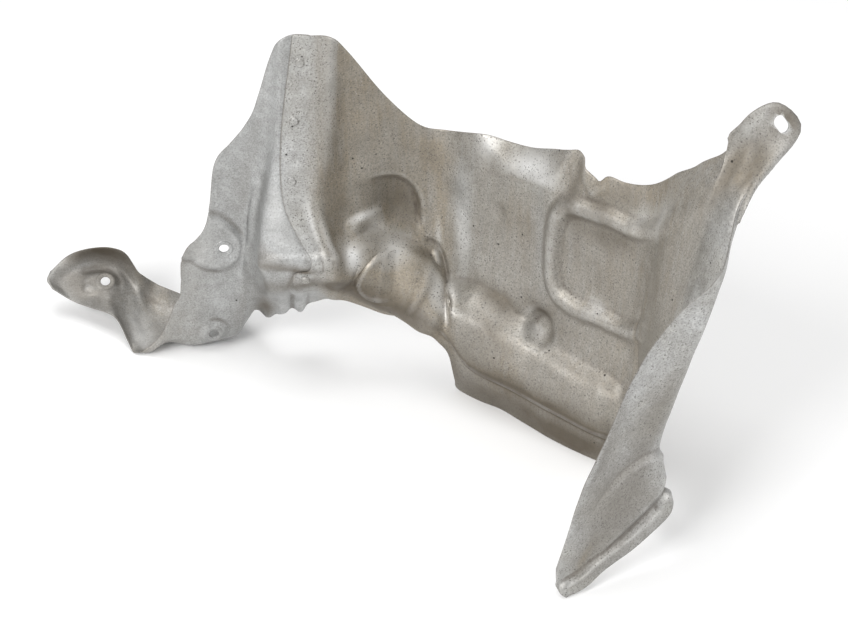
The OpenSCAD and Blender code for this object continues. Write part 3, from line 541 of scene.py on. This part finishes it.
def closed_sheet(name, points, places, near, far):
    """A mesh object in metres, from near to far off the skin's points along their normals."""
    normals = unit(np.cross(np.gradient(points, axis=0), np.gradient(points, axis=1)))
    count_u, count_v = points.shape[:2]
    front, back = points + far * normals, points + near * normals
    ring = border(count_u, count_v)
    middle = ((front + back) / 2).reshape(-1, 3)[ring]
    tangent = unit(np.roll(middle, -1, 0) - np.roll(middle, 1, 0))
    outward = np.cross(tangent, normals.reshape(-1, 3)[ring])
    middle = middle + BOWED_EDGE * outward
    vertices = np.concatenate([front.reshape(-1, 3), back.reshape(-1, 3), middle])
    n = count_u * count_v
    i, j = np.meshgrid(np.arange(count_u - 1), np.arange(count_v - 1), indexing="ij")
    a = (i * count_v + j).ravel()
    quads = np.stack([a, a + count_v, a + count_v + 1, a + 1], 1)
    following = np.roll(ring, -1)
    at = 2 * n + np.arange(len(ring))
    after = np.roll(at, -1)
    faces = np.concatenate([quads, quads[:, ::-1] + n, np.stack([ring, at, after, following], 1),
                            np.stack([at, ring + n, following + n, after], 1)])
    mesh = bpy.data.meshes.new(name)
    mesh.from_pydata(((vertices - MIDDLE) * MM).tolist(), [], faces.tolist())
    mesh.update()
    bend, brown = hollow(points, normals).ravel(), stained(*places).ravel()
    edge = np.concatenate([np.zeros(2 * n), np.ones(len(ring))])
    mark(mesh, "hollow", np.concatenate([bend, -bend, np.zeros(len(ring))]))
    # Soot and painted shade from the patches, and painted highlights where the amount is below zero.
    soot_and_painted_light = patches(SOOT_AND_PAINTED_LIGHT_PATCHES, *places).ravel()
    mark(mesh, "stain", np.concatenate([brown, brown, brown[ring]]))
    mark(mesh, "soot_and_painted_light", np.concatenate([soot_and_painted_light, soot_and_painted_light, soot_and_painted_light[ring]]))
    mark(mesh, "cut_edge", edge)
    piece = bpy.data.objects.new(name, mesh)
    bpy.context.scene.collection.objects.link(piece)
    return piece


def with_tab(station, row):
    """The main sheet's edge reaches to the left round the lowest button, as a small tab."""
    rows, reach = zip(*TAB)
    return station - np.interp(row, rows, reach) * np.clip(14 - station, 0, 1), row


TAB = [(2.72, 0), (3.2, 0.21), (3.48, 0.33), (3.62, 0.33), (3.7, 0.26), (3.74, 0.06), (3.8, 0), (4.05, -0.1), (4.4, 0)]
main_places = with_tab(*main_places)
left_points, main_points = pressed(*left_places), pressed(*main_places)
left_sheet = closed_sheet("left_sheet", left_points, left_places, -SHEET, 0)
main_sheet = closed_sheet("main_sheet", main_points, main_places, LAP_GAP, LAP_GAP + SHEET)
for sheet in (left_sheet, main_sheet):
    print(sheet.name, len(sheet.data.vertices), "points", len(sheet.data.polygons), "faces")

# %% [markdown]
# ## Holes, slot and buttons
#
# The three bosses have a hole for an M6 screw, with a raised collar round it. The ear has a slot, and four
# buttons clinch the sheets: a punch pushed both sheets into a die at once, so each stands proud in front and
# is hollow behind. A Boolean modifier cuts the openings. The collars and buttons are turned on their own
# axis, because a turned ring stays truly round, which the grid of the skin can't be at this size.

# %% Places of the openings
BUTTONS = [(13.6, 6.75), (13.6, 6.2), (13.5, 5.42), (13.1, 3.42)]
HOLES = [(8.29, 5.38, 1), (7.88, 3.56, 1), (2.79, 3.4, -1)]
SLOT, SLOT_TURN = (28.45, 6.85), -13
HOLE_R, COLLAR_R, COLLAR_H = 3.2, 6.1, 0.5
BUTTON_R, BUTTON_H = 2.7, 1.3
SLOT_W, SLOT_L = 7.0, 11.2


def stand(station, row, turn=0):
    """Where something stands on the pressed face: Z along the normal, X along the shield, in metres."""
    station, row = np.array(float(station)), np.array(float(row))
    z = square_to(pressed, station, row, 0.05)
    x = pressed(station + 0.05, row) - pressed(station - 0.05, row)
    x = unit(x - z * (x @ z))
    place = np.eye(4)
    place[:3, :3] = np.stack([x, np.cross(z, x), z], 1)
    place[:3, 3] = (pressed(station, row) - MIDDLE) * MM
    return Matrix(place) @ Matrix.Rotation(math.radians(turn), 4, "Z")


def turned(profile, segments=48):
    """Points and faces of a profile of radius and height, in millimetres, turned about Z."""
    angles = np.linspace(0, 2 * math.pi, segments, endpoint=False)
    points, faces, rings = [], [], []
    for r, h in profile:
        if r == 0:
            rings.append([len(points)] * segments)
            points.append((0, 0, h * MM))
        else:
            rings.append(list(range(len(points), len(points) + segments)))
            points += [(r * MM * math.cos(a), r * MM * math.sin(a), h * MM) for a in angles]
    for low, high in zip(rings, rings[1:]):
        for k in range(segments):
            m = (k + 1) % segments
            corners = [low[k], low[m], high[m], high[k]]
            faces.append([c for i, c in enumerate(corners) if c not in corners[:i]])
    return points, faces


def stadium(length, width, height, segments=48):
    """Points and faces of a bar with round ends, standing across the sheet."""
    half = (length - width) / 2
    angles = np.linspace(0, 2 * math.pi, segments, endpoint=False)
    rim = [(math.copysign(half, math.cos(a)) + width / 2 * math.cos(a), width / 2 * math.sin(a)) for a in angles]
    points = [(x * MM, y * MM, z * MM) for z in (-height / 2, height / 2) for x, y in rim]
    sides = [[k, (k + 1) % segments, (k + 1) % segments + segments, k + segments] for k in range(segments)]
    return points, sides + [list(range(segments))[::-1], list(range(segments, 2 * segments))]


def solid(name, points, faces, station, row, turn=0):
    """A mesh object made in place, with the stain, the soot and the painted shade and highlights of the sheet there.
    """
    mesh = bpy.data.meshes.new(name)
    place = stand(station, row, turn)
    mesh.from_pydata([place @ Vector(p) for p in points], [], faces)
    mesh.update()
    mark(mesh, "stain", np.full(len(points), stained(station, row)))
    mark(mesh, "soot_and_painted_light", np.full(len(points), patches(SOOT_AND_PAINTED_LIGHT_PATCHES, station, row)))
    piece = bpy.data.objects.new(name, mesh)
    bpy.context.scene.collection.objects.link(piece)
    return piece


def join(piece, parts):
    """Makes the parts a part of the piece's own mesh."""
    with bpy.context.temp_override(active_object=piece, selected_editable_objects=[piece] + parts):
        bpy.ops.object.join()


def cut(piece, tools):
    """Takes the tools' shapes out of the piece."""
    tool = tools[0]
    if len(tools) > 1:
        join(tool, tools[1:])
    step = piece.modifiers.new("cut", "BOOLEAN")
    step.operation, step.solver, step.object = "DIFFERENCE", "MANIFOLD", tool
    made = bpy.data.meshes.new_from_object(piece.evaluated_get(bpy.context.evaluated_depsgraph_get()))
    piece.modifiers.clear()
    piece.data = made
    bpy.data.objects.remove(tool)


def drill(radius, depth):
    return turned([(0, -depth), (radius, -depth), (radius, depth), (0, depth)])


# %% [markdown]
# A hole is cut a little wider than the screw needs, and the collar's own inner wall is the true 6.4 mm bore.

# %% Cut the sheets
cut(left_sheet, [solid("drill", *drill(HOLE_R + 0.8, 6), u, v) for u, v, side in HOLES]
    + [solid("punch", *drill(BUTTON_R - 0.9, 3), u, v) for u, v in BUTTONS])
cut(main_sheet, [solid("punch", *drill(BUTTON_R + 0.1, 3), u, v) for u, v in BUTTONS]
    + [solid("slot", *stadium(SLOT_L, SLOT_W, 12), *SLOT, SLOT_TURN)])
print("cut:", len(left_sheet.data.polygons), "and", len(main_sheet.data.polygons), "faces")

# %% [markdown]
# The collar's profile runs up from the boss in a small fillet, over a rounded crown and down a chamfer into
# the bore. On the lobe, the collar stands on the other face, because that boss was pressed downwards.

# %% Collars round the holes
COLLAR = [(COLLAR_R + 0.5, -0.35), (COLLAR_R, 0.05), (COLLAR_R - 0.35, 0.35), (COLLAR_R - 0.9, COLLAR_H),
          (COLLAR_R - 1.5, COLLAR_H - 0.1), (COLLAR_R - 1.9, 0.25), (HOLE_R + 0.6, 0.2), (HOLE_R + 0.15, 0.1),
          (HOLE_R, -0.15), (HOLE_R, -SHEET - 0.1), (COLLAR_R - 1, -SHEET - 0.1), (COLLAR_R - 0.6, -SHEET + 0.2),
          (COLLAR_R + 0.5, -0.35)]
LOW_COLLAR = 0.6


def collar(station, row, side):
    points, faces = turned(COLLAR, 64)
    if side < 0:
        points = [(x, -y, -z * LOW_COLLAR - SHEET * MM) for x, y, z in points]
    return solid("collar", points, faces, station, row)


join(left_sheet, [collar(*hole) for hole in HOLES])

# %% [markdown]
# A button has a flat crown, a rounded shoulder, a steep wall and a ring pressed in round its foot. The cup of
# the left sheet stands inside it, and shows as a pit from behind.

# %% Buttons and their cups
CROWN = LAP_GAP + SHEET + BUTTON_H
BUTTON = [(0, CROWN - 0.05), (0.9, CROWN), (BUTTON_R - 0.75, CROWN - 0.02), (BUTTON_R - 0.4, CROWN - 0.14),
          (BUTTON_R - 0.12, CROWN - 0.4), (BUTTON_R, CROWN - 0.8), (BUTTON_R + 0.12, CROWN - BUTTON_H + 0.18),
          (BUTTON_R + 0.4, CROWN - BUTTON_H + 0.02), (BUTTON_R + 0.7, CROWN - BUTTON_H - 0.15),
          (BUTTON_R + 0.4, LAP_GAP + 0.4), (BUTTON_R - SHEET, LAP_GAP + 0.4), (BUTTON_R - SHEET, CROWN - SHEET),
          (0, CROWN - SHEET)]
CUP_R = BUTTON_R - SHEET
CUP = [(0, 0.6), (CUP_R - 0.7, 0.6), (CUP_R - 0.2, 0.4), (CUP_R, 0), (CUP_R + 0.3, -SHEET / 2),
       (CUP_R + 0.35, -SHEET + 0.05), (CUP_R - 0.05, -SHEET), (CUP_R - 0.45, -0.5), (CUP_R - 0.8, 0.1), (0, 0.2)]
join(main_sheet, [solid("button", *turned(BUTTON), *place) for place in BUTTONS])
join(left_sheet, [solid("cup", *turned(CUP), *place) for place in BUTTONS])

# %% [markdown]
# ## Smooth metal, sharp cuts
#
# A pressed sheet is smooth all over, and only its cut edges are sharp. So every face is shaded smooth and the
# edges that turn by more than 50 degrees are marked sharp.

# %% Shading, bodies and names
SHARP = math.radians(50)
for sheet, node, slot in ((left_sheet, "left_shield", "left_sheet"), (main_sheet, "main_shield", "main_sheet")):
    sheet.data.polygons.foreach_set("use_smooth", np.ones(len(sheet.data.polygons), bool))
    sheet.data.set_sharp_from_angle(angle=SHARP)
    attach(sheet, "root")
    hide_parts(node)
    low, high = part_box(node)
    print(sheet.name, "replaces", node, "with the corners", low, high)

# %% [markdown]
# ## Weathered bare metal
#
# The finish is bare aluminium, dull and grey after years over a hot pipe. It shows in layers: clean grey metal
# with cloudy patches, the brown stain, dirt that stays in each hollow, dirt and painted shade along each cut
# edge, soot and painted shade in patches, painted highlights where those patches go below zero, metal rubbed
# bright on each ridge, a fine grain, and specks and pits where salt has eaten in. Each layer is a noise or cell
# pattern at its own scale, and together they give colour, roughness and a fine relief. A picture of real metal
# would be quicker, but it would have to be laid over the bends; patterns in space need no unwrapping and never
# repeat.

# %% Helpers for the patterns


def node(tree, kind, inputs, **settings):
    """A node with its settings; each input is another node's output or a plain value."""
    made = tree.nodes.new("ShaderNode" + kind)
    for key, value in settings.items():
        setattr(made, key, value)
    for key, value in inputs.items():
        if isinstance(value, bpy.types.NodeSocket):
            tree.links.new(value, made.inputs[key])
        else:
            made.inputs[key].default_value = value
    return made


def clouds(tree, size, detail=3, stretch=(1, 1, 1)):
    """Soft noise from 0 to 1, with features of about this size in metres."""
    place = node(tree, "TexCoord", {}).outputs["Object"]
    place = node(tree, "Mapping", {"Vector": place, "Scale": stretch}).outputs["Vector"]
    made = node(tree, "TexNoise", {"Vector": place, "Scale": 1 / size, "Detail": detail, "Roughness": 0.6})
    return made.outputs["Fac"]


def between(tree, value, low, high, to_low=0.0, to_high=1.0):
    """The value, mapped from one range to another and held inside it."""
    made = node(tree, "MapRange", {"Value": value, "From Min": low, "From Max": high, "To Min": to_low,
                                   "To Max": to_high})
    return made.outputs["Result"]


def times(tree, a, b):
    return node(tree, "Math", {0: a, 1: b}, operation="MULTIPLY").outputs[0]


def plus(tree, a, b):
    return node(tree, "Math", {0: a, 1: b}, operation="ADD").outputs[0]


def specks(tree, size, radius, share, shift):
    """Small round dots: one in a share of the cells of this size in metres."""
    place = node(tree, "TexCoord", {}).outputs["Object"]
    place = node(tree, "Mapping", {"Vector": place, "Location": (shift, shift, shift)}).outputs["Vector"]
    cells = node(tree, "TexVoronoi", {"Vector": place, "Scale": 1 / size})
    dot = between(tree, cells.outputs["Distance"], radius * 0.6, radius, 1, 0)
    chosen = between(tree, cells.outputs["Color"], share - 0.04, share + 0.04, 1, 0)
    return times(tree, dot, chosen)


def blend(tree, share, a, b):
    """Colour a, going over to colour b by the share."""
    made = node(tree, "Mix", {0: share, 6: a, 7: b}, data_type="RGBA")
    return made.outputs[2]


def stored(tree, name):
    return node(tree, "Attribute", {}, attribute_name=name).outputs["Fac"]


# %% The finish
def weathered_metal(name, grey, pale, dots, speck_share, pit_share):
    """Dull bare aluminium with stain, dirt, soot, painted shade and highlights, rubbed ridges, specks and pits."""
    finish = bpy.data.materials.new(name)
    finish.use_nodes = True
    tree = finish.node_tree
    shader = tree.nodes["Principled BSDF"]
    patches, mottle, grain = clouds(tree, 0.035, 4), clouds(tree, 0.007, 4), clouds(tree, 0.0011, 2)
    streaks = clouds(tree, 0.004, 3, (1, 1, 0.08))
    bend = stored(tree, "hollow")
    dirt_and_edge_shade = times(tree, between(tree, bend, 0.3, 1.1), between(tree, mottle, 0.25, 0.6, 0.35, 1))
    # Cut edges darken too: dirt, and painted shade of the gap where the sheets lap.
    dirt_and_edge_shade = plus(tree, dirt_and_edge_shade, times(tree, stored(tree, "cut_edge"), between(tree, mottle, 0.3, 0.7, 0.6, 1)))
    rubbed = times(tree, between(tree, bend, -0.15, -0.8), between(tree, mottle, 0.35, 0.65, 0.3, 1))
    stain = times(tree, stored(tree, "stain"), between(tree, patches, 0.3, 0.62, 0.55, 1.1))
    stain = times(tree, stain, between(tree, streaks, 0.3, 0.7, 0.7, 1.15))
    dark_dots = specks(tree, 0.0021, 0.30, speck_share, 0)
    dark_dots = times(tree, dark_dots, between(tree, mottle, 0.38, 0.6))
    pale_dots = times(tree, specks(tree, 0.0016, 0.32, 0.4, 3), between(tree, patches, 0.4, 0.62))
    fine_dots = specks(tree, 0.0013, 0.38, 0.55, 5)
    # Soot and painted shade, with painted highlights where the number is below zero.
    soot_and_painted_light = times(tree, stored(tree, "soot_and_painted_light"), between(tree, patches, 0.3, 0.62, 0.6, 1.05))
    pits = specks(tree, 0.012, 0.07, pit_share, 7)

    colour = blend(tree, between(tree, patches, 0.35, 0.65), grey, pale)
    colour = blend(tree, between(tree, mottle, 0.3, 0.7, 0.45, 0), colour, (0.2, 0.195, 0.185, 1))
    colour = blend(tree, between(tree, stain, 0, 1, 0, 0.85), colour, (0.335, 0.286, 0.213, 1))
    colour = blend(tree, between(tree, grain, 0.3, 0.7, 0.42, 0), colour, (0.1, 0.095, 0.09, 1))
    colour = blend(tree, times(tree, pale_dots, 0.35), colour, (0.62, 0.61, 0.59, 1))
    # Soot and painted shade darken the colour here; the next line paints a highlight where the number is below zero.
    colour = blend(tree, times(tree, soot_and_painted_light, 0.62), colour, (0.148, 0.127, 0.099, 1))
    colour = blend(tree, times(tree, soot_and_painted_light, -0.5), colour, (0.8, 0.8, 0.79, 1))
    colour = blend(tree, times(tree, fine_dots, 0.65 * dots), colour, (0.11, 0.1, 0.09, 1))
    colour = blend(tree, times(tree, rubbed, 0.22), colour, (0.66, 0.66, 0.65, 1))
    colour = blend(tree, times(tree, dark_dots, dots), colour, (0.07, 0.062, 0.055, 1))
    # Dirt in hollows, and dirt and painted shade on the cut edges, darken the colour.
    colour = blend(tree, times(tree, dirt_and_edge_shade, 0.7), colour, (0.085, 0.068, 0.05, 1))
    colour = blend(tree, times(tree, pits, 0.9), colour, (0.03, 0.027, 0.024, 1))
    tree.links.new(colour, shader.inputs["Base Color"])

    rough = plus(tree, between(tree, mottle, 0.3, 0.7, 0.39, 0.52), times(tree, stain, 0.08))
    rough = plus(tree, rough, times(tree, dirt_and_edge_shade, 0.2))
    rough = plus(tree, rough, between(tree, soot_and_painted_light, 0, 1, 0, 0.14))
    rough = plus(tree, rough, times(tree, rubbed, -0.06))
    tree.links.new(rough, shader.inputs["Roughness"])
    tree.links.new(between(tree, plus(tree, dirt_and_edge_shade, dark_dots), 0, 1, 0.78, 0.3), shader.inputs["Metallic"])

    relief = plus(tree, times(tree, grain, 0.5), times(tree, mottle, 0.7))
    relief = plus(tree, relief, times(tree, plus(tree, dark_dots, times(tree, pits, 3)), -0.6))
    bump = node(tree, "Bump", {"Strength": 0.55, "Distance": 0.00022, "Height": relief})
    tree.links.new(bump.outputs["Normal"], shader.inputs["Normal"])
    return finish


left_metal = weathered_metal("weathered_left_metal", (0.44, 0.445, 0.438, 1), (0.6, 0.61, 0.61, 1),
                             0.4, 0.35, 0.2)
main_metal = weathered_metal("weathered_main_metal", (0.475, 0.466, 0.436, 1), (0.63, 0.637, 0.635, 1),
                             0.75, 0.6, 0.5)
for sheet, metal in ((left_sheet, left_metal), (main_sheet, main_metal)):
    sheet.data.materials.clear()
    sheet.data.materials.append(metal)
    print(sheet.name, "has the marks", [mark.name for mark in sheet.data.attributes if mark.domain == "POINT"])

# %% [markdown]
# ## Floor, light and camera
#
# The photograph is a cut-out on white, lit softly from above. A pale floor with a wide soft box overhead and a
# bright room round it gives the same light. The camera stands 1.4 m away and looks 35 degrees down, with a
# long lens, where the outline of the shield falls on that of the photograph.

# %% Floor
floor_size = 8.0
floor_mesh = bpy.data.meshes.new("floor")
half = floor_size / 2
floor_mesh.from_pydata([(-half, -half, 0), (half, -half, 0), (half, half, 0), (-half, half, 0)], [], [(0, 1, 2, 3)])
floor = bpy.data.objects.new("floor", floor_mesh)
bpy.context.scene.collection.objects.link(floor)
paper = bpy.data.materials.new("white_paper")
paper.use_nodes = True
paper_shader = paper.node_tree.nodes["Principled BSDF"]
paper_shader.inputs["Base Color"].default_value = (0.92, 0.92, 0.92, 1)
paper_shader.inputs["Roughness"].default_value = 0.9
floor_mesh.materials.append(paper)

# %% Lights


def soft_box(name, place, target, size, power):
    """A square lamp that faces its target."""
    lamp = bpy.data.lights.new(name, "AREA")
    lamp.size, lamp.energy = size, power
    stand_in = bpy.data.objects.new(name, lamp)
    stand_in.location = place
    stand_in.rotation_euler = (Vector(target) - Vector(place)).to_track_quat("-Z", "Y").to_euler()
    bpy.context.scene.collection.objects.link(stand_in)


soft_box("window", (-1.6, -1.7, 1.7), (0, 0, 0.1), 1.4, 52)
soft_box("fill", (1.7, -1.3, 0.8), (0, 0, 0.15), 1.2, 16)
soft_box("overhead", (-0.2, 0.1, 1.9), (0, 0, 0.1), 1.2, 14)
world = bpy.data.worlds.new("room")
bpy.context.scene.world = world
world.use_nodes = True
world.node_tree.nodes["Background"].inputs["Color"].default_value = (1, 1, 1, 1)
world.node_tree.nodes["Background"].inputs["Strength"].default_value = 0.54

# %% Camera
camera = bpy.data.objects.new("camera", bpy.data.cameras.new("camera"))
bpy.context.scene.collection.objects.link(camera)
camera.location = (0.02373, -1.15971, 0.90358)
camera.rotation_euler = (math.radians(55), 0, 0)
camera.data.sensor_fit, camera.data.sensor_width, camera.data.lens = "HORIZONTAL", 36, 99.06
camera.data.clip_start, camera.data.clip_end = 0.05, 50
bpy.context.scene.camera = camera
bpy.context.scene.view_settings.view_transform = "Standard"
